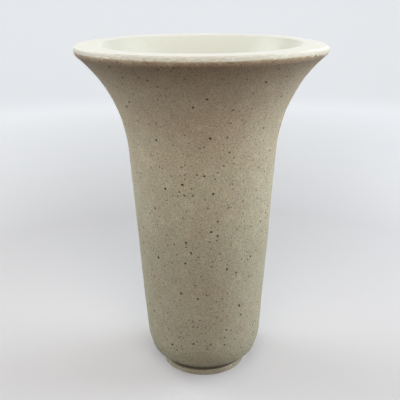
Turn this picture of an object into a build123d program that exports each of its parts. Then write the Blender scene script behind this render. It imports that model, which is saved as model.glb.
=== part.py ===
"""Flared drop-out casting mould: a fine plaster face coat keyed into a coarse plaster backing.

The mould is a body of revolution about Z, in millimetres, standing on its foot ring at z = 0.
Every profile is drawn on the XZ plane, where x is the radius, and revolved about Z.
"""

from build123d import *

import os
from math import cos, hypot, radians, sin, sqrt, tan

os.makedirs("parts", exist_ok=True)

# Rim
HEIGHT = 310.0  # foot face to rim land
MOUTH_RADIUS = 89.0  # inner edge of the rim land
MOUTH_ARRIS = 1.2  # small round on that edge
NOSE_RADIUS = 110.6  # widest point of the rounded rim
NOSE_ROUND = 7.0  # radius of that round, from the land down to the flare
SHOULDER_Z = 305.8  # underside of the face coat's rim flange

# Outside of the wall
DRAFT = 3.82  # degrees that the straight wall leans outwards
WALL_TOP_RADIUS = 67.5  # where the straight wall meets the flare
WALL_TOP_Z = 217.4
WALL_FOOT_Z = 39.0  # where it meets the rounded bottom corner
FLARE_RADIUS = 124.2
FLARE_END = 46.8  # degrees from vertical, kept from there to the rounded rim
CORNER_RADIUS = 69.0  # slow upper part of the bottom corner
CORNER_END = 21.4  # degrees from vertical where the tighter part takes over
EDGE_RADIUS = 11.0

# Inside of the wall
FLOOR_Z = 30.0  # floor of the casting cavity
CAVITY_CORNER = 16.0  # fillet between the cavity's wall and its floor
COAT = 5.0  # thickness of the fine face coat

# Foot
FOOT_RADIUS = 40.2
FOOT_BORE = 30.0  # radius of the recess under the mould
FOOT_TOP_Z = 5.0  # leaves an open groove below the backing's base
FOOT_ARRIS = 0.8
TONGUE_RADIUS = 37.4
TONGUE_TOP_Z = 17.0

# Hidden wire
HOOP_WIRE = 1.6  # radius of the hoop wire
KEY_DEPTH = 3.2  # from the joint between the coats out to a hoop's centre
KEY_HALF_WIDTH = 1.0
BASE_HOOP_Z = 60.0
WAIST_HOOP_Z = 150.0
RIM_HOOP_ANGLE = 36.0  # degrees round the flare
STAY_WIRE = 1.5  # radius of the upright wire
STAY_INSET = 0.6  # from the joint in to an upright's centre, so that uprights clear the hoops
STAY_COUNT = 8
STAY_FOOT_Z = 46.0
STAY_END = 40.0  # degrees round the flare where the uprights stop


def from_centre(centre, radius, angle):
    """The point at this radius from a centre, its angle measured down from level, outwards."""
    return (
        centre[0] + radius * cos(radians(angle)),
        centre[1] - radius * sin(radians(angle)),
    )


# The flare's centre is outside the wall, so points on the flare lie at minus its radius
FLARE_CENTRE = from_centre((WALL_TOP_RADIUS, WALL_TOP_Z), FLARE_RADIUS, DRAFT)
CAVITY_FLARE = hypot(FLARE_CENTRE[0] - MOUTH_RADIUS, HEIGHT - FLARE_CENTRE[1])
JOINT_FLARE = CAVITY_FLARE - COAT


def on_flare(radius, angle):
    """The point of a flare arc where it leans at this many degrees from vertical."""
    return from_centre(FLARE_CENTRE, -radius, angle)


def below_flare(radius, z):
    """The point at this height of the straight wall below a flare arc."""
    top = on_flare(radius, DRAFT)
    return (top[0] - (top[1] - z) * tan(radians(DRAFT)), z)


def flare_arc(radius, end):
    """The flare arc from the top of the straight wall to an end point."""
    RadiusArc(on_flare(radius, DRAFT), end, radius)


def hollow_outline(radius, floor_z, corner, end):
    """Floor, rounded corner, straight wall and flare, of the cavity or of the joint behind it."""
    foot = below_flare(radius, floor_z)
    FilletPolyline((0, floor_z), foot, on_flare(radius, DRAFT), radius=corner)
    flare_arc(radius, end)


# Outline points shared by the face coat and the backing
JOINT_FLOOR_Z = FLOOR_Z - COAT
JOINT_CORNER = CAVITY_CORNER + COAT
SHOULDER = (
    FLARE_CENTRE[0] - sqrt(JOINT_FLARE**2 - (SHOULDER_Z - FLARE_CENTRE[1]) ** 2),
    SHOULDER_Z,
)

# Rounded rim: one arc, tangent to the end of the flare, that the coats' joint cuts across
FLARE_TOP = on_flare(FLARE_RADIUS, FLARE_END)
NOSE_X = NOSE_RADIUS - NOSE_ROUND
NOSE_CENTRE = (
    NOSE_X,
    FLARE_TOP[1]
    + (NOSE_ROUND - (FLARE_TOP[0] - NOSE_X) * cos(radians(FLARE_END))) / sin(radians(FLARE_END)),
)


def on_nose(z):
    """The point of the rounded rim at this height, on its outer half."""
    return (NOSE_X + sqrt(NOSE_ROUND**2 - (z - NOSE_CENTRE[1]) ** 2), z)


NOSE_FOOT = from_centre(NOSE_CENTRE, NOSE_ROUND, FLARE_END)
RIM_EDGE = on_nose(SHOULDER_Z)
LAND_EDGE = on_nose(HEIGHT)

# Bottom corner of the backing: two arcs, each tangent to the next, that end level at the base
WALL_FOOT = below_flare(FLARE_RADIUS, WALL_FOOT_Z)
CORNER_CENTRE = from_centre(WALL_FOOT, -CORNER_RADIUS, DRAFT)
CORNER_POINT = from_centre(CORNER_CENTRE, CORNER_RADIUS, CORNER_END)
EDGE_CENTRE = from_centre(CORNER_POINT, -EDGE_RADIUS, CORNER_END)
BASE_EDGE = from_centre(EDGE_CENTRE, EDGE_RADIUS, 90)
BASE_Z = BASE_EDGE[1]

# Each hoop: the mouth of its key on the joint between the coats, and the joint's lean there
HOOPS = {
    "base_hoop": (below_flare(JOINT_FLARE, BASE_HOOP_Z), DRAFT),
    "waist_hoop": (below_flare(JOINT_FLARE, WAIST_HOOP_Z), DRAFT),
    "rim_hoop": (on_flare(JOINT_FLARE, RIM_HOOP_ANGLE), RIM_HOOP_ANGLE),
}


def wire_section(name, mode=Mode.ADD):
    """The round section of one hoop, at the bottom of its key."""
    mouth, lean = HOOPS[name]
    with Locations(from_centre(mouth, KEY_DEPTH, lean)):
        Circle(HOOP_WIRE, mode=mode)


def keys_and_wires(key_mode):
    """The annular keys that reach out from the joint, less the hoops at their bottoms."""
    for name, (mouth, lean) in HOOPS.items():
        with Locations(Location(mouth, -lean)):
            Rectangle(2 * KEY_DEPTH, 2 * KEY_HALF_WIDTH, mode=key_mode)
        wire_section(name, Mode.SUBTRACT)


# One upright wire, which follows the joint between the coats just inside the hoops
with BuildPart() as upright:
    with BuildLine(Plane.XZ) as upright_path:
        stay_line = JOINT_FLARE + STAY_INSET
        Line(below_flare(stay_line, STAY_FOOT_Z), on_flare(stay_line, DRAFT))
        flare_arc(stay_line, on_flare(stay_line, STAY_END))
    with BuildSketch(upright_path.line ^ 0):
        Circle(STAY_WIRE)
    sweep(path=upright_path.line)

# The upright wires, evenly spaced round the mould
with BuildPart() as stay_wires:
    with PolarLocations(0, STAY_COUNT):
        add(upright.part)

# Face coat: cavity lining, rim flange with its land and rounded nose, and the keys
with BuildPart() as face_coat:
    with BuildSketch(Plane.XZ) as coat_profile:
        with BuildLine():
            hollow_outline(CAVITY_FLARE, FLOOR_Z, CAVITY_CORNER, (MOUTH_RADIUS, HEIGHT))
            Line((MOUTH_RADIUS, HEIGHT), LAND_EDGE)
            RadiusArc(LAND_EDGE, RIM_EDGE, NOSE_ROUND)
            Line(RIM_EDGE, SHOULDER)
            hollow_outline(JOINT_FLARE, JOINT_FLOOR_Z, JOINT_CORNER, SHOULDER)
            Line((0, JOINT_FLOOR_Z), (0, FLOOR_Z))
        make_face()
        mouth_edge = coat_profile.vertices().sort_by_distance((MOUTH_RADIUS, HEIGHT))[0]
        fillet(mouth_edge, MOUTH_ARRIS)
        keys_and_wires(Mode.ADD)
    revolve(axis=Axis.Z)
    add(stay_wires.part, mode=Mode.SUBTRACT)

# Backing shell: coarse wall, rounded base and the socket for the foot ring's tongue
with BuildPart() as backing_shell:
    with BuildSketch(Plane.XZ):
        with BuildLine():
            hollow_outline(JOINT_FLARE, JOINT_FLOOR_Z, JOINT_CORNER, SHOULDER)
            Line(SHOULDER, RIM_EDGE)
            RadiusArc(RIM_EDGE, NOSE_FOOT, NOSE_ROUND)
            Line(NOSE_FOOT, FLARE_TOP)
            flare_arc(FLARE_RADIUS, FLARE_TOP)
            Line(on_flare(FLARE_RADIUS, DRAFT), WALL_FOOT)
            RadiusArc(WALL_FOOT, CORNER_POINT, CORNER_RADIUS)
            RadiusArc(CORNER_POINT, BASE_EDGE, EDGE_RADIUS)
            Polyline(BASE_EDGE, (0, BASE_Z), (0, JOINT_FLOOR_Z))
        make_face()
        with Locations((FOOT_BORE, BASE_Z)):
            Rectangle(
                TONGUE_RADIUS - FOOT_BORE,
                TONGUE_TOP_Z - BASE_Z,
                align=Align.MIN,
                mode=Mode.SUBTRACT,
            )
        keys_and_wires(Mode.SUBTRACT)
    revolve(axis=Axis.Z)
    add(stay_wires.part, mode=Mode.SUBTRACT)

# Foot ring: the ring the mould stands on, with its tongue bonded into the base
with BuildPart() as foot_ring:
    with BuildSketch(Plane.XZ):
        with Locations((FOOT_BORE, 0)):
            Rectangle(FOOT_RADIUS - FOOT_BORE, FOOT_TOP_Z, align=Align.MIN)
            Rectangle(TONGUE_RADIUS - FOOT_BORE, TONGUE_TOP_Z, align=Align.MIN)
    revolve(axis=Axis.Z)
    foot_edges = foot_ring.edges().filter_by_position(Axis.Z, 0, 0)
    shoulder_edges = foot_ring.edges().filter_by_position(Axis.Z, FOOT_TOP_Z, FOOT_TOP_Z)
    fillet(foot_edges + shoulder_edges.sort_by(SortBy.RADIUS)[-1:], FOOT_ARRIS)

# Base hoop
with BuildPart() as base_hoop:
    with BuildSketch(Plane.XZ):
        wire_section("base_hoop")
    revolve(axis=Axis.Z)

# Waist hoop
with BuildPart() as waist_hoop:
    with BuildSketch(Plane.XZ):
        wire_section("waist_hoop")
    revolve(axis=Axis.Z)

# Rim hoop
with BuildPart() as rim_hoop:
    with BuildSketch(Plane.XZ):
        wire_section("rim_hoop")
    revolve(axis=Axis.Z)

PIECES = {
    "face_coat": face_coat,
    "backing_shell": backing_shell,
    "foot_ring": foot_ring,
    "base_hoop": base_hoop,
    "waist_hoop": waist_hoop,
    "rim_hoop": rim_hoop,
    "stay_wires": stay_wires,
}
for piece_name, piece in PIECES.items():
    piece.part.label = piece_name
    export_step(piece.part, f"parts/{piece_name}.step")
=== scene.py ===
"""Looks of the flared casting mould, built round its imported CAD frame.

Shapes are worked out in millimetres and written to the meshes in metres. Every profile is a list
of (radius, height) points that keeps the solid on its right, and is turned round Z.
"""

import math

import bpy
import numpy as np
from mathutils import Matrix, Vector, noise


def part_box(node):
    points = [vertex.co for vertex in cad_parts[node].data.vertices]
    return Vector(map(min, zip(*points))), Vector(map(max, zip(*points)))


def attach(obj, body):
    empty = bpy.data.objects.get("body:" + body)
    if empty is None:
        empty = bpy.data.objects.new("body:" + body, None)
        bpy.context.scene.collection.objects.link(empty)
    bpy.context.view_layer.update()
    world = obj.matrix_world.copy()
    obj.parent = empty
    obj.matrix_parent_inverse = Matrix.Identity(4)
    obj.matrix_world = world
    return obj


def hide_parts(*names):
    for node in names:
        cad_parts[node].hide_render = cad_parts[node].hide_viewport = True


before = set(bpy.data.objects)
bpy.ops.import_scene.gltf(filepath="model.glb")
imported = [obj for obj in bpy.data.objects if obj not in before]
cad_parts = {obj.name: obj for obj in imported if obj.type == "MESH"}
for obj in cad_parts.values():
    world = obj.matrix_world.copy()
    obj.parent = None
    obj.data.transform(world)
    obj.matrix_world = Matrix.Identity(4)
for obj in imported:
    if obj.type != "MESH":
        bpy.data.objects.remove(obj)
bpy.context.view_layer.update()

MM = 0.001
ON_AXIS = 1e-6  # points nearer than this are one point
BODY = "root"
SEED = 41

# ---------------------------------------------------------------- sizes, in millimetres


def node_box(node):
    """Lowest and highest corner of a CAD node, in millimetres."""
    low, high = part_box(node)
    return Vector(low) / MM, Vector(high) / MM


COAT_LOW, COAT_HIGH = node_box("face_coat")
SHELL_LOW, SHELL_HIGH = node_box("backing_shell")
_, FOOT_HIGH = node_box("foot_ring")

HEIGHT = COAT_HIGH.z
NOSE_RADIUS = COAT_HIGH.x
JOINT_FLOOR_Z = COAT_LOW.z
SHOULDER_Z = SHELL_HIGH.z
BASE_Z = SHELL_LOW.z
FOOT_RADIUS = FOOT_HIGH.x
TONGUE_TOP_Z = FOOT_HIGH.z

MOUTH_RADIUS = 89.0
MOUTH_ARRIS = 1.2  # rounding of the land's inner edge
NOSE_ROUND = 7.0  # radius of the rounded rim
DRAFT = math.radians(3.82)  # lean of the straight wall
WALL_TOP_RADIUS = 67.5  # where the straight wall meets the flare
WALL_TOP_Z = 217.4
WALL_FOOT_Z = 39.0  # where it meets the rounded bottom corner
FLARE_RADIUS = 124.2
FLARE_END = math.radians(46.8)  # from vertical
CORNER_RADIUS = 69.0  # the corner's slow upper part
CORNER_END = math.radians(21.4)
EDGE_RADIUS = 11.0  # and its tighter lower part
COAT = 5.0
FLOOR_Z = JOINT_FLOOR_Z + COAT
CAVITY_CORNER = 16.0
FOOT_BORE = 30.0
FOOT_TOP_Z = 5.0
FOOT_ARRIS = 0.8
TONGUE_RADIUS = 37.4

SEGMENTS = 288  # points in each ring
SHELL_STEP = 1.35  # longest distance between rings outside,
COAT_STEP = 2.0  # in the cavity,
FINE_STEP = 0.7  # on small rounds
HIDDEN_STEP = 9.0  # and where pieces meet
ARRIS_POINTS = 5
CREASE = 55.0  # edges steeper than this many degrees stay crisp
LAND_CREASE = 40.0

# ---------------------------------------------------------------- profiles


def from_centre(centre, radius, angle):
    """The point at this radius from a centre, its angle measured down from level, outwards."""
    return (centre[0] + radius * math.cos(angle), centre[1] - radius * math.sin(angle))


FLARE_CENTRE = from_centre((WALL_TOP_RADIUS, WALL_TOP_Z), FLARE_RADIUS, DRAFT)
CAVITY_FLARE = math.hypot(FLARE_CENTRE[0] - MOUTH_RADIUS, HEIGHT - FLARE_CENTRE[1])
JOINT_FLARE = CAVITY_FLARE - COAT
FLARE_TOP = from_centre(FLARE_CENTRE, -FLARE_RADIUS, FLARE_END)
NOSE_X = NOSE_RADIUS - NOSE_ROUND
NOSE_LEFT = NOSE_ROUND - (FLARE_TOP[0] - NOSE_X) * math.cos(FLARE_END)
NOSE_CENTRE = (NOSE_X, FLARE_TOP[1] + NOSE_LEFT / math.sin(FLARE_END))


def nose_angle(z):
    """The from_centre angle of the rounded rim at this height."""
    return -math.asin((z - NOSE_CENTRE[1]) / NOSE_ROUND)


RIM_EDGE = from_centre(NOSE_CENTRE, NOSE_ROUND, nose_angle(SHOULDER_Z))
LAND_RADIUS = from_centre(NOSE_CENTRE, NOSE_ROUND, nose_angle(HEIGHT))[0]


def wall_at(flare, z):
    """The point at this height of the straight wall below a flare arc."""
    top = from_centre(FLARE_CENTRE, -flare, DRAFT)
    return (top[0] - (top[1] - z) * math.tan(DRAFT), z)


def arc(centre, radius, start, end, step):
    """Points along an arc from one angle to another, both ends included."""
    count = max(2, int(math.ceil(abs(radius * (end - start)) / step)) + 1)
    return [from_centre(centre, radius, a) for a in np.linspace(start, end, count)]


def line(start, end, step):
    """Points along a straight line, both ends included."""
    length = math.hypot(end[0] - start[0], end[1] - start[1])
    count = max(2, int(math.ceil(length / step)) + 1)
    return [tuple(p) for p in np.linspace(start, end, count)]


def chain(*runs):
    """One list of points out of runs that meet end to end."""
    points = []
    for run in runs:
        if points and math.dist(points[-1], run[0]) < ON_AXIS:
            run = run[1:]
        points += run
    return points


def hollow(flare, floor_z, corner, top_angle, step):
    """Floor centre to rim: floor, rounded corner, straight wall and flare."""
    wall_radius, _ = wall_at(flare, floor_z + corner)
    centre = (wall_radius - corner / math.cos(DRAFT), floor_z + corner)
    corner_start = from_centre(centre, corner, math.pi / 2)
    corner_end = from_centre(centre, corner, DRAFT)
    return chain(
        line((0.0, floor_z), corner_start, step),
        arc(centre, corner, math.pi / 2, DRAFT, step),
        line(corner_end, from_centre(FLARE_CENTRE, -flare, DRAFT), step),
        arc(FLARE_CENTRE, -flare, DRAFT, top_angle, step),
    )


def joint_face():
    """The hidden face between the two coats, from its floor's centre up to the shoulder."""
    top_angle = math.asin((SHOULDER_Z - FLARE_CENTRE[1]) / JOINT_FLARE)
    return hollow(JOINT_FLARE, JOINT_FLOOR_Z, CAVITY_CORNER + COAT, top_angle, HIDDEN_STEP)


def rounded_corner(start, corner, end):
    """Points from start to end along a curve that bends towards the corner."""
    start, corner, end = np.array(start), np.array(corner), np.array(end)
    shares = np.linspace(0, 1, ARRIS_POINTS)
    return [tuple((1 - t) ** 2 * start + 2 * t * (1 - t) * corner + t * t * end) for t in shares]


def shell_runs():
    """The backing's hidden joint face, its visible outside, and its base with the socket."""
    joint = joint_face()
    shoulder = line(joint[-1], RIM_EDGE, HIDDEN_STEP)
    wall_foot = wall_at(FLARE_RADIUS, WALL_FOOT_Z)
    corner_centre = from_centre(wall_foot, -CORNER_RADIUS, DRAFT)
    corner_point = from_centre(corner_centre, CORNER_RADIUS, CORNER_END)
    edge_centre = from_centre(corner_point, -EDGE_RADIUS, CORNER_END)
    outside = chain(
        arc(NOSE_CENTRE, NOSE_ROUND, nose_angle(SHOULDER_Z), FLARE_END, FINE_STEP),
        line(from_centre(NOSE_CENTRE, NOSE_ROUND, FLARE_END), FLARE_TOP, SHELL_STEP),
        arc(FLARE_CENTRE, -FLARE_RADIUS, FLARE_END, DRAFT, SHELL_STEP),
        line((WALL_TOP_RADIUS, WALL_TOP_Z), wall_foot, SHELL_STEP),
        arc(corner_centre, CORNER_RADIUS, DRAFT, CORNER_END, SHELL_STEP),
        arc(edge_centre, EDGE_RADIUS, CORNER_END, math.pi / 2, SHELL_STEP),
    )
    base = chain(
        line(outside[-1], (TONGUE_RADIUS, BASE_Z), SHELL_STEP),
        line((TONGUE_RADIUS, BASE_Z), (TONGUE_RADIUS, TONGUE_TOP_Z), SHELL_STEP),
        line((TONGUE_RADIUS, TONGUE_TOP_Z), (FOOT_BORE, TONGUE_TOP_Z), HIDDEN_STEP),
        line((FOOT_BORE, TONGUE_TOP_Z), (FOOT_BORE, BASE_Z), SHELL_STEP),
        line((FOOT_BORE, BASE_Z), (0.0, BASE_Z), SHELL_STEP * 2),
    )
    return chain(joint, shoulder), outside, base


def coat_runs():
    """The face coat's cavity, its rim, and its hidden joint face."""
    mouth_angle = math.asin((HEIGHT - FLARE_CENTRE[1]) / CAVITY_FLARE)
    round_in = MOUTH_ARRIS / CAVITY_FLARE
    cavity = hollow(CAVITY_FLARE, FLOOR_Z, CAVITY_CORNER, mouth_angle - round_in, COAT_STEP)
    land_start = (MOUTH_RADIUS + MOUTH_ARRIS, HEIGHT)
    rim = chain(
        rounded_corner(cavity[-1], (MOUTH_RADIUS, HEIGHT), land_start),
        line(land_start, (LAND_RADIUS, HEIGHT), FINE_STEP * 2),
        arc(NOSE_CENTRE, NOSE_ROUND, nose_angle(HEIGHT), nose_angle(SHOULDER_Z), FINE_STEP),
    )
    joint = joint_face()
    hidden = chain(line(RIM_EDGE, joint[-1], HIDDEN_STEP), joint[::-1])
    return cavity, rim, hidden


def foot_runs():
    """The foot ring's closed outline: recess, hidden tongue, groove, outside and resting face."""
    low_out = (FOOT_RADIUS - FOOT_ARRIS, FOOT_ARRIS)
    low_in = (FOOT_BORE + FOOT_ARRIS, FOOT_ARRIS)
    high_out = (FOOT_RADIUS - FOOT_ARRIS, FOOT_TOP_Z - FOOT_ARRIS)
    outline = chain(
        line((low_in[0], 0.0), (low_out[0], 0.0), FINE_STEP * 2),
        arc(low_out, FOOT_ARRIS, math.pi / 2, 0.0, FINE_STEP / 3),
        line((FOOT_RADIUS, FOOT_ARRIS), (FOOT_RADIUS, high_out[1]), FINE_STEP),
        arc(high_out, FOOT_ARRIS, 0.0, -math.pi / 2, FINE_STEP / 3),
        line((high_out[0], FOOT_TOP_Z), (TONGUE_RADIUS, FOOT_TOP_Z), FINE_STEP),
        line((TONGUE_RADIUS, FOOT_TOP_Z), (TONGUE_RADIUS, TONGUE_TOP_Z), FINE_STEP * 2),
        line((TONGUE_RADIUS, TONGUE_TOP_Z), (FOOT_BORE, TONGUE_TOP_Z), HIDDEN_STEP),
        line((FOOT_BORE, TONGUE_TOP_Z), (FOOT_BORE, FOOT_ARRIS), FINE_STEP * 2),
        arc(low_in, FOOT_ARRIS, math.pi, math.pi / 2, FINE_STEP / 3),
    )
    return outline[:0:-1]  # its last point is its first again


# ---------------------------------------------------------------- hand-made surface

# Layers of unevenness: (size of the lumps, height, seed)
COARSE = ((70.0, 0.55, 3), (24.0, 0.28, 7), (7.0, 0.14, 11), (2.4, 0.10, 13))
COARSE_SMALL = COARSE[:1] + COARSE[2:]
FINE = ((80.0, 0.30, 5), (20.0, 0.10, 9), (5.0, 0.03, 15))
JOINT_FADE = 4.0  # distance from a joint over which the unevenness dies away

BASE_RINGS = 2  # rings of the base that share the outside's unevenness

PIT_COUNT = 620
PIT_TRIES = 6  # for each pit wanted
PIT_MARGIN = 3  # rings without pits at each end of the outside
PIT_GAP = 2  # fewest grid steps between two pits, less one
PIT_SMALLEST = 0.34  # radius
PIT_LARGEST = 1.15
PIT_SPREAD = 0.672  # of the logarithm of the radius
PIT_DEPTHS = (0.8, 1.2)  # shares of the radius
PIT_STRETCHES = (1.0, 1.35)
PIT_WOBBLE = 0.15  # share by which a pit's edge leaves a smooth ellipse
PIT_ROOM = 0.82  # share of its grid faces that a pit may fill
PIT_FLOOR = 0.66  # radius of the ring inside the bowl, as a share of the pit's
PIT_WALL = 0.72  # depth of that ring, as a share of the pit's
PIT_LIP_SHADE = 0.55  # how dark the painted shade is on a pit's lip, beside its bottom
PIT_RING = ((-1, -1), (-1, 0), (-1, 1), (0, 1), (1, 1), (1, 0), (1, -1), (0, -1))

SIDE_WEAR = 2.4  # most that the rim's outer edge has lost, on the right
WEAR_START = 98.0  # radius where that wear starts
WEAR_SIDE = 0.72  # cosine of the angle from the right where it starts
WEAR_DROP = 0.6  # share of it that goes downwards


def soft_noise(point, size, seed):
    """Smooth noise from about -1 to 1, whose lumps are about this many millimetres across."""
    return noise.noise(Vector(point) / size + Vector((seed, seed * 1.7, seed * 2.3)))


def hand_finish(point, amounts):
    """How far a surface stands proud of its true shape, the sum of all its layers."""
    return sum(height * soft_noise(point, size, seed) for size, height, seed in amounts)


class Revolved:
    """A grid of rings round Z, built from a profile, on which pits can be sunk."""

    def __init__(self, profile, closed=False):
        self.profile = np.array(profile)
        self.closed = closed
        count = len(self.profile)
        turn = np.linspace(0, 2 * math.pi, SEGMENTS, endpoint=False)
        self.points = np.zeros((count, SEGMENTS, 3))
        self.points[:, :, 0] = self.profile[:, :1] * np.cos(turn)
        self.points[:, :, 1] = self.profile[:, :1] * np.sin(turn)
        self.points[:, :, 2] = self.profile[:, 1:]
        rings = np.arange(count)
        if closed:
            before, after = (rings - 1) % count, (rings + 1) % count
        else:
            before, after = np.maximum(rings - 1, 0), np.minimum(rings + 1, count - 1)
        along = self.profile[after] - self.profile[before]
        along /= np.linalg.norm(along, axis=1)[:, None]
        self.normals = np.zeros_like(self.points)
        self.normals[:, :, 0] = -along[:, 1:] * np.cos(turn)
        self.normals[:, :, 1] = -along[:, 1:] * np.sin(turn)
        self.normals[:, :, 2] = along[:, :1]
        self.removed = np.zeros((count, SEGMENTS), bool)
        self.extra_points = []
        self.extra_faces = []
        self.pit_shade_values = {}

    def rough(self, rings, amounts, fixed_z=None):
        """Moves these rings' points in or out by the hand-made finish, less near a joint."""
        for i in rings:
            near = 1.0
            if fixed_z is not None:
                near = min(1.0, abs(self.profile[i, 1] - fixed_z) / JOINT_FADE)
            for j in range(SEGMENTS):
                p = self.points[i, j]
                self.points[i, j] = p + self.normals[i, j] * near * hand_finish(p, amounts)

    def index(self, i, j):
        """The number of grid point (i, j) in the mesh."""
        return i * SEGMENTS + j % SEGMENTS

    def pit(self, i, j, radius, depth, stretch, heading, rng):
        """Sinks a bowl in the 2 by 2 faces round grid point (i, j)."""
        centre = self.points[i, j % SEGMENTS].copy()
        inward = -self.normals[i, j % SEGMENTS]
        base = len(self.points) * SEGMENTS + len(self.extra_points)
        sides = len(PIT_RING)
        outer, inner = [], []
        for k, (di, dj) in enumerate(PIT_RING):
            edge = self.points[i + di, (j + dj) % SEGMENTS]
            reach = np.linalg.norm(edge - centre)
            along = (edge - centre) / reach
            turn = math.atan2(di, dj) - heading
            size = radius * math.hypot(math.cos(turn) * stretch, math.sin(turn) / stretch)
            size = min(size * rng.uniform(1 - PIT_WOBBLE, 1 + PIT_WOBBLE), reach * PIT_ROOM)
            outer.append(centre + along * size)
            inner.append(centre + along * size * PIT_FLOOR + inward * depth * PIT_WALL)
            # painted shade: half on the lip ring, full on the inner ring and the bottom
            self.pit_shade_values[base + k] = PIT_LIP_SHADE
            self.pit_shade_values[base + sides + k] = 1.0
        self.extra_points += outer + inner
        self.points[i, j % SEGMENTS] = centre + inward * depth
        bottom = self.index(i, j)
        self.pit_shade_values[bottom] = 1.0
        low = base + sides
        for k in range(sides):
            n = (k + 1) % sides
            a = self.index(i + PIT_RING[k][0], j + PIT_RING[k][1])
            b = self.index(i + PIT_RING[n][0], j + PIT_RING[n][1])
            self.extra_faces.append((a, b, base + n, base + k))
            self.extra_faces.append((base + k, base + n, low + n, low + k))
            self.extra_faces.append((low + k, low + n, bottom))
        for di in (-1, 0):
            for dj in (-1, 0):
                self.removed[i + di, (j + dj) % SEGMENTS] = True

    def scatter_pits(self, rings, count, rng):
        """Sinks pits evenly over these rings, most of them small and none touching another."""
        rings = list(rings)
        share = self.profile[rings, 0]
        share = share / share.sum()
        taken = np.zeros((len(self.points), SEGMENTS), bool)
        placed = 0
        reach = range(-PIT_GAP, PIT_GAP + 1)
        for _ in range(count * PIT_TRIES):
            if placed == count:
                break
            i = int(rng.choice(rings, p=share))
            j = int(rng.integers(SEGMENTS))
            if any(taken[i + di, (j + dj) % SEGMENTS] for di in reach for dj in reach):
                continue
            taken[i, j] = True
            radius = PIT_SMALLEST * math.exp(abs(rng.normal(0, PIT_SPREAD)))
            radius = min(radius, PIT_LARGEST)
            depth = radius * rng.uniform(*PIT_DEPTHS)
            stretch = rng.uniform(*PIT_STRETCHES)
            self.pit(i, j, radius, depth, stretch, rng.uniform(0, math.pi), rng)
            placed += 1

    def grid_faces(self):
        """The faces between neighbouring rings, without those that pits have replaced."""
        count = len(self.points)
        faces = []
        for i in range(count if self.closed else count - 1):
            k = (i + 1) % count
            for j in range(SEGMENTS):
                if not self.removed[i, j]:
                    grid = ((i, j), (i, j + 1), (k, j + 1), (k, j))
                    faces.append(tuple(self.index(*spot) for spot in grid))
        return faces

    def close_poles(self, faces):
        """The same faces, with every ring on the axis joined into one point."""
        poles = {}
        for i in (0, len(self.points) - 1):
            if self.profile[i, 0] < ON_AXIS:
                poles.update({self.index(i, j): self.index(i, 0) for j in range(SEGMENTS)})
        closed = []
        for face in faces:
            face = [poles.get(v, v) for v in face]
            face = [v for n, v in enumerate(face) if v != face[n - 1]]
            if len(face) > 2:
                closed.append(face)
        return closed

    def build(self, name):
        """The finished mesh object, in metres, with the pits' painted shade, deepest in each bowl,
        as a point attribute.
        """
        extra = np.array(self.extra_points).reshape(-1, 3)
        verts = np.concatenate([self.points.reshape(-1, 3), extra])
        faces = [face[::-1] for face in self.grid_faces() + self.extra_faces]
        faces = self.close_poles(faces)
        used = sorted({v for face in faces for v in face})
        renumber = {v: n for n, v in enumerate(used)}
        mesh = bpy.data.meshes.new(name)
        corners = [[renumber[v] for v in face] for face in faces]
        mesh.from_pydata((verts[used] * MM).tolist(), [], corners)
        mesh.shade_smooth()
        pit = mesh.attributes.new("pit", "FLOAT", "POINT")
        values = np.zeros(len(used), np.float32)
        for v, value in self.pit_shade_values.items():
            if v in renumber:
                values[renumber[v]] = value
        pit.data.foreach_set("value", values)
        mesh.update()
        piece = bpy.data.objects.new(name, mesh)
        bpy.context.scene.collection.objects.link(piece)
        return piece


def sharpen(piece, degrees):
    """Keeps edges steeper than this crisp under smooth shading."""
    piece.data.set_sharp_from_angle(angle=math.radians(degrees))


def make_shell(rng):
    """The coarse backing, uneven and pitted outside, true on the faces that meet other pieces."""
    joint, outside, base = shell_runs()
    profile = chain(joint, outside, base)
    first = len(joint) - 1
    last = first + len(outside) - 1
    grid = Revolved(profile)
    grid.rough(range(first, last + 1 + BASE_RINGS), COARSE, SHOULDER_Z)
    grid.scatter_pits(range(first + PIT_MARGIN, last + 1 - PIT_MARGIN), PIT_COUNT, rng)
    piece = grid.build("backing_shell_cast")
    sharpen(piece, CREASE)
    return piece


def wear_side(grid, rings):
    """Rounds the rim's outer edge off more on the right, by up to SIDE_WEAR."""
    for i in rings:
        for j in range(SEGMENTS):
            x, y, z = grid.points[i, j]
            radius = math.hypot(x, y)
            high = (z - SHOULDER_Z) / (HEIGHT - SHOULDER_Z)
            outer = (radius - WEAR_START) / (NOSE_RADIUS - WEAR_START)
            right = (x / radius - WEAR_SIDE) / (1.0 - WEAR_SIDE)
            share = math.prod(min(1.0, max(0.0, part)) for part in (high, outer, right))
            loss = share * SIDE_WEAR
            inwards = 1.0 - loss / radius
            grid.points[i, j] = (x * inwards, y * inwards, z - loss * WEAR_DROP)


def make_coat():
    """The fine face coat: cavity, land and nose, and the hidden joint face, which stays true."""
    cavity, rim, hidden = coat_runs()
    profile = chain(cavity, rim, hidden)
    grid = Revolved(profile)
    first_rim = len(cavity) - 1
    last_rim = first_rim + len(rim) - 1
    grid.rough(range(1, first_rim), FINE)
    grid.rough(range(first_rim, last_rim + 1), FINE, SHOULDER_Z)
    wear_side(grid, range(first_rim, last_rim + 1))
    piece = grid.build("face_coat_cast")
    sharpen(piece, LAND_CREASE)
    return piece


def make_foot():
    """The foot ring, uneven all over but on its resting face."""
    grid = Revolved(foot_runs(), closed=True)
    grid.rough(range(len(grid.profile)), COARSE_SMALL, 0.0)
    piece = grid.build("foot_ring_cast")
    sharpen(piece, CREASE)
    return piece


shell = make_shell(np.random.default_rng(SEED))
coat = make_coat()
foot = make_foot()

# ---------------------------------------------------------------- materials


def srgb(*levels):
    """A linear colour from 0 to 255 display levels."""
    return tuple(
        c / 12.92 if c <= 0.04045 else ((c + 0.055) / 1.055) ** 2.4
        for c in (level / 255 for level in levels)
    )


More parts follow.
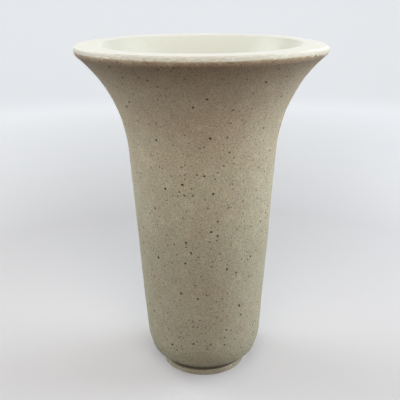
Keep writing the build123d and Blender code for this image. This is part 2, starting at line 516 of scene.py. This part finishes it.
BODY_OLIVE = srgb(172, 166, 141)
BODY_BROWN = srgb(171, 161, 137)
BODY_PALE = srgb(187, 180, 157)
BODY_YELLOW = srgb(187, 176, 138)
RIM_BROWN = srgb(152, 135, 111)
RIM_WASH = srgb(206, 190, 156)
GRIT = srgb(78, 68, 58)
GRIT_PALE = srgb(188, 181, 160)
PIT_SHADE_DARK = srgb(52, 44, 36)
PAINTED_SHADE_DARK = srgb(84, 76, 62)
CREAM_WARM = srgb(231, 233, 218)
CREAM_COOL = srgb(230, 234, 221)
CREAM_DULL = srgb(221, 222, 205)
LAND_PALE = srgb(250, 250, 235)
NOSE_GREY = srgb(228, 222, 202)
NOSE_SIDE_SHADE = srgb(205, 201, 184)
NOSE_WORN = srgb(210, 200, 178)
ARRIS_LINE = srgb(190, 184, 160)
ZINC = srgb(150, 153, 156)
ZINC_PALE = srgb(176, 178, 180)
WHITE_RUST = srgb(205, 206, 202)

# Tints that multiply a colour
WARMTH = (1.085, 0.98, 0.96)
SPOT_GREEN = (0.93, 1.06, 1.02)
SPOT_PINK = (1.09, 0.97, 0.99)

RIM_BAND_SPAN = 26.0  # distance below the rim's joint over which the backing turns browner and darker
WARM_FROM_Z = 180.0  # heights between which the backing turns warmer
WARM_TO_Z = 285.0
RUN_OVER = 4.0  # how much further down the cream runs over the joint, on the right


class Nodes:
    """A node tree, with short calls for the nodes that the materials and the surround share."""

    def __init__(self, tree):
        self.tree = tree
        self.tree.nodes.clear()

    def add(self, kind, **settings):
        """A new node of this kind, with these settings."""
        node = self.tree.nodes.new(kind)
        for key, value in settings.items():
            setattr(node, key, value)
        return node

    def join(self, value, socket):
        """Links a socket, or sets a plain number or colour."""
        if isinstance(value, bpy.types.NodeSocket):
            self.tree.links.new(value, socket)
        elif isinstance(value, tuple):
            socket.default_value = (*value, 1.0) if len(value) == 3 else value
        else:
            socket.default_value = value

    def math(self, operation, a, b=0.0):
        """One sum with two numbers or sockets."""
        node = self.add("ShaderNodeMath", operation=operation)
        self.join(a, node.inputs[0])
        self.join(b, node.inputs[1])
        return node.outputs[0]

    def times(self, *values):
        """The product of all the values."""
        product = values[0]
        for value in values[1:]:
            product = self.math("MULTIPLY", product, value)
        return product

    def ramp(self, value, low, high, out_low=0.0, out_high=1.0, smooth=True):
        """The value between low and high mapped to out_low and out_high, held flat outside."""
        node = self.add("ShaderNodeMapRange")
        node.interpolation_type = "SMOOTHSTEP" if smooth else "LINEAR"
        for key, item in enumerate((value, low, high, out_low, out_high)):
            self.join(item, node.inputs[key])
        return node.outputs[0]


class Shader(Nodes):
    """A material's node tree, with the patterns used here. Sizes are millimetres."""

    def __init__(self, name):
        self.material = bpy.data.materials.new(name)
        self.material.use_nodes = True
        super().__init__(self.material.node_tree)
        output = self.add("ShaderNodeOutputMaterial")
        self.surface = self.add("ShaderNodeBsdfPrincipled")
        self.join(self.surface.outputs[0], output.inputs["Surface"])
        place = self.add("ShaderNodeTexCoord").outputs["Object"]
        scale = self.add("ShaderNodeVectorMath", operation="SCALE")
        self.join(place, scale.inputs[0])
        scale.inputs["Scale"].default_value = 1 / MM
        self.place = scale.outputs[0]
        parts = self.add("ShaderNodeSeparateXYZ")
        self.join(self.place, parts.inputs[0])
        self.x, self.y, self.z = parts.outputs

    def mix(self, share, a, b, blend="MIX"):
        """From a to b by this share; blend MULTIPLY gives a times b."""
        node = self.add("ShaderNodeMix", data_type="RGBA", blend_type=blend)
        self.join(share, node.inputs["Factor"])
        self.join(a, node.inputs[6])
        self.join(b, node.inputs[7])
        return node.outputs[2]

    def moved(self, seed, stretch=(1.0, 1.0, 1.0)):
        """The place, shifted by the seed and made this many times finer along X, Y and Z."""
        node = self.add("ShaderNodeMapping")
        self.join(self.place, node.inputs["Vector"])
        node.inputs["Location"].default_value = (seed * 17.0, seed * 29.0, seed * 11.0)
        node.inputs["Scale"].default_value = stretch
        return node.outputs[0]

    def noise(self, size, seed, detail=2.0, roughness=0.55, stretch=(1.0, 1.0, 1.0)):
        """Cloudy noise about 0.5, whose lumps are about this many millimetres across."""
        node = self.add("ShaderNodeTexNoise")
        self.join(self.moved(seed, stretch), node.inputs["Vector"])
        node.inputs["Scale"].default_value = 1.0 / size
        node.inputs["Detail"].default_value = detail
        node.inputs["Roughness"].default_value = roughness
        return node.outputs["Fac"]

    def specks(self, cell, radius, share, seed, soft=0.35):
        """Round specks up to this radius, in this share of cells that are about this wide."""
        node = self.add("ShaderNodeTexVoronoi", feature="F1")
        self.join(self.moved(seed), node.inputs["Vector"])
        node.inputs["Scale"].default_value = 1.0 / cell
        draw = self.add("ShaderNodeSeparateColor")
        self.join(node.outputs["Color"], draw.inputs[0])
        reach = self.ramp(draw.outputs[1], 0.0, 1.0, radius * 0.45 / cell, radius / cell, False)
        inside = self.math("SUBTRACT", reach, node.outputs["Distance"])
        shown = self.math("LESS_THAN", draw.outputs[0], share)
        edge = soft * radius / cell
        return self.math("MULTIPLY", self.ramp(inside, -edge, edge), shown)

    def radius(self):
        """The distance from the axis."""
        across = self.math("ADD", self.math("POWER", self.x, 2.0), self.math("POWER", self.y, 2.0))
        return self.math("SQRT", across)

    def attribute(self, name):
        """A point attribute of the mesh."""
        node = self.add("ShaderNodeAttribute", attribute_name=name)
        return node.outputs["Fac"]

    def bump(self, *layers):
        """Bump from (height, depth in millimetres) layers."""
        normal = None
        for height, depth in layers:
            node = self.add("ShaderNodeBump")
            node.inputs["Distance"].default_value = depth * MM
            self.join(height, node.inputs["Height"])
            if normal is not None:
                self.join(normal, node.inputs["Normal"])
            normal = node.outputs[0]
        return normal

    def finish(self, **inputs):
        """Sets the surface's inputs by name and gives the material."""
        for key, value in inputs.items():
            self.join(value, self.surface.inputs[key.replace("_", " ")])
        return self.material


def painted_light_by_height(s):
    """Painted light and shade by height: the backing is palest at mid height, less pale under the
    flare and least near the base.
    """
    low = s.ramp(s.z, 15.0, 70.0, 1.01, 1.06)
    middle = s.ramp(s.z, 115.0, 190.0, 1.0, 1.16)
    high = s.ramp(s.z, 235.0, 295.0, 1.0, 0.91)
    return s.times(low, middle, high)


def backing_ground(s):
    """The backing's mottled colour, browner and darker under the rim, with painted light and shade
    by height, and warmer towards the rim.
    """
    colour = s.mix(s.ramp(s.noise(34.0, 1), 0.36, 0.66), BODY_OLIVE, BODY_BROWN)
    colour = s.mix(s.ramp(s.noise(11.0, 2, 3.0), 0.45, 0.75, 0.0, 0.5), colour, BODY_PALE)
    colour = s.mix(s.ramp(s.noise(15.0, 3, 3.0), 0.58, 0.74, 0.0, 0.35), colour, BODY_YELLOW)
    rim_band = s.ramp(s.z, SHOULDER_Z - RIM_BAND_SPAN, SHOULDER_Z + 2.0, 0.0, 0.75)
    colour = s.mix(rim_band, colour, RIM_BROWN)
    # painted light and shade by height, multiplied into the colour
    colour = s.mix(1.0, colour, painted_light_by_height(s), "MULTIPLY")
    warmer = s.mix(1.0, colour, WARMTH, "MULTIPLY")
    colour = s.mix(s.ramp(s.z, WARM_FROM_Z, WARM_TO_Z), colour, warmer)
    spots = s.mix(s.noise(2.6, 10), SPOT_GREEN, SPOT_PINK)
    return s.mix(0.5, colour, spots, "MULTIPLY")


def cream_run_over(s, colour):
    """Cream that was wiped over the joint, thin at the front and further down on the right."""
    wash = s.math("ADD", s.z, s.ramp(s.noise(6.0, 4), 0.3, 0.7, -1.6, 1.2, False))
    thin = s.ramp(wash, SHOULDER_Z - 2.0, SHOULDER_Z + 0.2, 0.0, 0.6)
    colour = s.mix(thin, colour, RIM_WASH)
    right = s.ramp(s.x, NOSE_RADIUS * 0.6, NOSE_RADIUS, 0.0, RUN_OVER)
    thick = s.ramp(s.math("ADD", wash, right), SHOULDER_Z + 0.4, SHOULDER_Z + 1.8, 0.0, 0.9)
    return s.mix(thick, colour, NOSE_GREY)


def gritty(s, colour, medium):
    """The colour with fine dark and pale grit, larger dark specks, and bold ones at the rim."""
    fine = s.specks(2.3, 0.62, 0.55, 6)
    pale = s.specks(2.9, 0.60, 0.40, 8)
    bold = s.specks(8.0, 1.15, 0.34, 32)
    colour = s.mix(s.times(fine, 0.42), colour, GRIT)
    colour = s.mix(s.times(pale, 0.32), colour, GRIT_PALE)
    colour = s.mix(s.times(medium, s.ramp(s.z, 190.0, 270.0, 0.72, 0.40)), colour, GRIT)
    at_rim = s.ramp(s.z, SHOULDER_Z - 8.0, SHOULDER_Z - 4.0, 0.0, 0.8)
    return s.mix(s.times(bold, at_rim), colour, GRIT)


def coarse_plaster(name, painted_shade_mask):
    """Grey-beige filled plaster: mottled, grainy, speckled with dark grit, with painted shade in
    its pits and where the given mask falls.
    """
    s = Shader(name)
    grain = s.noise(1.25, 5, 3.0, 0.75)
    medium = s.specks(4.6, 0.85, 0.82, 7)
    colour = cream_run_over(s, backing_ground(s))
    colour = s.mix(1.0, colour, s.ramp(grain, 0.25, 0.75, 0.60, 1.40, False), "MULTIPLY")
    colour = gritty(s, colour, medium)
    # painted shade inside the pits
    colour = s.mix(s.ramp(s.attribute("pit"), 0.2, 1.0, 0.0, 0.93), colour, PIT_SHADE_DARK)
    # painted shade: in the groove for the foot ring, under the base for the shell
    colour = s.mix(painted_shade_mask(s), colour, PAINTED_SHADE_DARK)
    height = s.math("ADD", grain, s.times(s.noise(2.8, 9), 0.8))
    return s.finish(
        Base_Color=colour,
        Roughness=s.ramp(grain, 0.2, 0.8, 0.80, 0.96, False),
        Specular_IOR_Level=0.28,
        Sheen_Weight=0.12,
        Sheen_Roughness=0.45,
        Normal=s.bump((height, 0.22), (s.times(medium, -1.0), 0.25)),
    )


def painted_groove_shade(s):
    """Painted shade in the open groove between the base and the foot ring, on the ring's top under
    the base's overhang.
    """
    inner = s.ramp(s.radius(), FOOT_RADIUS - 0.4, TONGUE_RADIUS + 0.6)
    above = s.ramp(s.z, FOOT_TOP_Z - 1.0, FOOT_TOP_Z + 0.2)
    return s.times(inner, above, 0.85)


def painted_base_shade(s):
    """Painted shade on the rounded underside of the base, darker towards the bottom."""
    return s.ramp(s.z, BASE_Z + 3.0, BASE_Z + 0.2, 0.0, 0.8)


def cream_ground(s, radius):
    """The face coat's cream, barely mottled, with a paler land: painted light on the upward-facing
    top, and a painted highlight along its outer edge.
    """
    colour = s.mix(s.ramp(s.noise(40.0, 21), 0.35, 0.65), CREAM_WARM, CREAM_COOL)
    colour = s.mix(s.ramp(s.noise(7.0, 22, 4.0), 0.45, 0.8, 0.0, 0.25), colour, CREAM_DULL)
    # painted light: the land and the top of the nose paler where they face up
    top = s.ramp(s.z, HEIGHT - 1.6, HEIGHT - 0.6)
    past_mouth = s.ramp(radius, MOUTH_RADIUS - 3.0, MOUTH_RADIUS + 1.0)
    return s.mix(s.times(top, past_mouth, 0.8), colour, LAND_PALE)


def scuffed_nose(s, colour, nose):
    """The nose's scuffs along the rim, painted shade greying its left and right sides, and its
    worn patches.
    """
    streak = s.noise(9.0, 23, 4.0, 0.65, (1.0, 1.0, 9.0))
    colour = s.mix(s.times(nose, s.ramp(streak, 0.42, 0.58, 0.1, 1.0)), colour, NOSE_GREY)
    bright = s.ramp(s.noise(6.0, 31, 3.0, 0.6, (1.0, 1.0, 6.0)), 0.55, 0.64, 0.0, 0.8)
    colour = s.mix(s.times(nose, bright), colour, LAND_PALE)
    side = s.math("DIVIDE", s.math("ABSOLUTE", s.x), s.radius())
    # painted shade: the nose greyer towards its left and right sides
    painted_side_shade = s.ramp(side, 0.62, 0.92, 0.0, 0.9)
    colour = s.mix(s.times(nose, painted_side_shade), colour, NOSE_SIDE_SHADE)
    worn = s.ramp(s.noise(4.0, 24, 3.0, 0.6, (1.0, 1.0, 2.5)), 0.56, 0.70, 0.0, 0.6)
    return s.mix(s.times(nose, worn), colour, NOSE_WORN)


def arris_grey_line(s, colour, radius):
    """A broken grey line along the outer edge of the land."""
    off = s.math("ABSOLUTE", s.math("SUBTRACT", radius, LAND_RADIUS + 0.35))
    broken = s.ramp(s.noise(9.0, 25, 3.0), 0.38, 0.62, 0.15, 0.7)
    top = s.ramp(s.z, HEIGHT - 1.6, HEIGHT - 0.3)
    return s.mix(s.times(s.ramp(off, 0.75, 0.15), broken, top, 0.45), colour, ARRIS_LINE)


def ragged_joint(s, colour, outer):
    """The cream's ragged, dotted lower edge, where the backing shows through."""
    lower = s.math("ADD", s.z, s.ramp(s.noise(4.0, 26, 3.0), 0.3, 0.7, -0.6, 0.6, False))
    foot = s.ramp(lower, SHOULDER_Z + 1.0, SHOULDER_Z - 0.3)
    colour = s.mix(s.times(foot, outer, 0.9), colour, RIM_WASH)
    near = s.ramp(lower, SHOULDER_Z + 2.4, SHOULDER_Z + 0.8)
    return s.mix(s.times(s.specks(7.5, 0.8, 0.30, 27), near, outer, 0.85), colour, GRIT)


def fine_plaster():
    """Cream face coat: satin in the cavity and on the land, dry, worn and stained on the nose,
    with painted shade on the nose's sides and painted light on the land.
    """
    s = Shader("fine_plaster_cream")
    radius = s.radius()
    outer = s.ramp(radius, LAND_RADIUS - 0.3, LAND_RADIUS + 0.4)
    nose = s.times(outer, s.ramp(s.z, HEIGHT - 0.5, HEIGHT - 2.2))
    colour = scuffed_nose(s, cream_ground(s, radius), nose)
    colour = ragged_joint(s, arris_grey_line(s, colour, radius), outer)
    colour = s.mix(s.times(s.specks(13.0, 0.4, 0.22, 28), 0.25), colour, GRIT_PALE)
    rub = s.noise(2.2, 29, 3.0, 0.6)
    satin = s.ramp(rub, 0.3, 0.7, 0.28, 0.34, False)
    return s.finish(
        Base_Color=colour,
        Roughness=s.math("ADD", satin, s.times(outer, 0.28)),
        Specular_IOR_Level=s.ramp(outer, 0.0, 1.0, 0.55, 0.22, False),
        Normal=s.bump((s.noise(9.0, 30), 0.05), (rub, 0.008)),
    )


def galvanised_wire():
    """Dull zinc on steel wire, with faint spangle and white rust."""
    s = Shader("galvanised_wire_zinc")
    rust = s.noise(6.0, 42, 4.0)
    colour = s.mix(s.ramp(s.noise(1.6, 41, 2.0), 0.35, 0.65), ZINC, ZINC_PALE)
    return s.finish(
        Base_Color=s.mix(s.ramp(rust, 0.55, 0.75, 0.0, 0.6), colour, WHITE_RUST),
        Metallic=s.ramp(rust, 0.55, 0.75, 1.0, 0.4),
        Roughness=s.ramp(s.noise(1.6, 43), 0.3, 0.7, 0.38, 0.6),
        Normal=s.bump((s.noise(0.8, 44), 0.02)),
    )


def dress(piece, material, node):
    """Gives a piece its material and its place in the frame, standing for a CAD node."""
    piece.data.materials.append(material)
    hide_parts(node)
    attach(piece, BODY)


dress(shell, coarse_plaster("coarse_plaster_shell", painted_base_shade), "backing_shell")
dress(coat, fine_plaster(), "face_coat")
dress(foot, coarse_plaster("coarse_plaster_foot", painted_groove_shade), "foot_ring")

zinc = galvanised_wire()
for wire in ("rim_hoop", "waist_hoop", "base_hoop", "stay_wires"):
    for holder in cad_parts[wire].material_slots:
        holder.material = zinc

# ---------------------------------------------------------------- stage, light and camera

BACKDROP = srgb(226, 226, 227)
BACKDROP_SHADE = srgb(224, 224, 225)
BACKDROP_GLOW = (0.95, 1.0, 1.04)
BACKDROP_FLAT = 1600.0
BACKDROP_SWEEP = 900.0
BACKDROP_TOP = 5000.0

GLOW_HEIGHT = 0.05  # of the glow's middle, on a ball of radius 1
GLOW_REACH = 0.45  # how far up and down from there it fades out
GLOW_TURN = 0.7  # how far to the front and back it changes strength
GLOW_FRONT = 0.34  # strengths
GLOW_BACK = 1.88
GLOW_LEAST = 0.01

WARM = (1.06, 0.99, 0.97)
NEUTRAL = (1.0, 1.0, 1.0)
FAINTLY_COOL = (0.94, 1.01, 1.05)
COOL = (0.94, 1.02, 1.10)
AIM = Vector((0.0, 0.0, HEIGHT * MM * 0.6))

# Name, place and size in metres, power in watts, tint
SOFT_BOXES = (
    ("box_top", (0.0, 0.10, 1.60), (0.8, 0.8), 2.8, NEUTRAL),
    ("box_front_top", (0.0, -1.10, 1.70), (1.5, 1.0), 10.5, WARM),
    ("box_front_low", (0.1, -1.50, 0.80), (1.3, 0.9), 9.5, WARM),
    ("box_right_high", (0.90, 0.52, 1.05), (0.6, 0.6), 2.0, NEUTRAL),
    ("box_right_low", (1.15, 0.15, 0.36), (0.7, 0.9), 10.3, COOL),
    ("box_left_high", (-0.90, 0.52, 1.05), (0.6, 0.6), 3.8, NEUTRAL),
    ("box_left_low", (-1.15, 0.15, 0.32), (0.7, 0.9), 5.3, FAINTLY_COOL),
)

CAMERA_PLACE = Vector((0.0, -0.580, 0.360))
CAMERA_PITCH = 18.58
CAMERA_ROLL = -0.42
CAMERA_LENS = 58.29
CAMERA_SHIFT = -0.0072
SENSOR_WIDTH = 36.0


def backdrop_paint():
    """Pale grey, a little darker to the left, that glows far away and faintly close by."""
    s = Shader("backdrop_pale")
    radius = s.radius()
    far = s.ramp(radius, 440.0, 1380.0, 0.0, 0.59, False)
    near = s.times(s.ramp(radius, 120.0, 420.0, 0.06, 0.0), s.ramp(s.x, 0.0, 260.0, 1.0, 0.1))
    return s.finish(
        Base_Color=s.mix(s.ramp(s.x, -260.0, 200.0), BACKDROP_SHADE, BACKDROP),
        Roughness=0.95,
        Specular_IOR_Level=0.0,
        Emission_Color=BACKDROP_GLOW,
        Emission_Strength=s.math("ADD", far, near),
    )


def make_backdrop():
    """A pale seamless bowl round the object, seen by the camera only, that takes its shadow."""
    edge = BACKDROP_FLAT + BACKDROP_SWEEP
    profile = chain(
        line((0.0, 0.0), (BACKDROP_FLAT, 0.0), 200.0),
        arc((BACKDROP_FLAT, BACKDROP_SWEEP), BACKDROP_SWEEP, math.pi / 2, 0.0, 60.0),
        line((edge, BACKDROP_SWEEP), (edge, BACKDROP_TOP), 400.0),
    )
    bowl = Revolved(profile).build("backdrop")
    for way in ("visible_diffuse", "visible_glossy", "visible_transmission", "visible_shadow"):
        setattr(bowl, way, False)
    bowl.data.materials.append(backdrop_paint())


def soft_box(name, place, size, power, tint):
    """An area light aimed at AIM, above the middle of the object."""
    lamp = bpy.data.lights.new(name, "AREA")
    lamp.shape = "RECTANGLE"
    lamp.size, lamp.size_y = size
    lamp.energy = power
    lamp.color = tint
    box = bpy.data.objects.new(name, lamp)
    box.location = place
    box.rotation_euler = (AIM - Vector(place)).to_track_quat("-Z", "Y").to_euler()
    box.visible_camera = False
    bpy.context.scene.collection.objects.link(box)


def make_world():
    """Soft surround: a glow round the horizon, strongest behind, that fades up and down."""
    world = bpy.data.worlds.new("studio")
    bpy.context.scene.world = world
    world.use_nodes = True
    sky = Nodes(world.node_tree)
    output = sky.add("ShaderNodeOutputWorld")
    light = sky.add("ShaderNodeBackground")
    sky.join(light.outputs[0], output.inputs[0])
    parts = sky.add("ShaderNodeSeparateXYZ")
    sky.join(sky.add("ShaderNodeTexCoord").outputs["Generated"], parts.inputs[0])
    _, back, up = parts.outputs
    off = sky.math("ABSOLUTE", sky.math("SUBTRACT", up, GLOW_HEIGHT))
    band = sky.ramp(off, 0.0, GLOW_REACH, 1.0, 0.0)
    side = sky.ramp(back, -GLOW_TURN, GLOW_TURN, GLOW_FRONT, GLOW_BACK)
    sky.join(sky.math("ADD", sky.times(band, side), GLOW_LEAST), light.inputs[1])


def make_camera():
    """The camera in front of the mould, looking down on it by CAMERA_PITCH degrees."""
    lens = bpy.data.cameras.new("camera")
    lens.sensor_width = SENSOR_WIDTH
    lens.lens = CAMERA_LENS
    lens.shift_x = CAMERA_SHIFT
    camera = bpy.data.objects.new("camera", lens)
    tilt = Matrix.Rotation(math.radians(90.0 - CAMERA_PITCH), 4, "X")
    roll = Matrix.Rotation(math.radians(CAMERA_ROLL), 4, "Z")
    camera.matrix_world = Matrix.Translation(CAMERA_PLACE) @ tilt @ roll
    bpy.context.scene.collection.objects.link(camera)
    bpy.context.scene.camera = camera


make_backdrop()
make_world()
for settings in SOFT_BOXES:
    soft_box(*settings)
make_camera()
bpy.context.scene.view_settings.view_transform = "Standard"
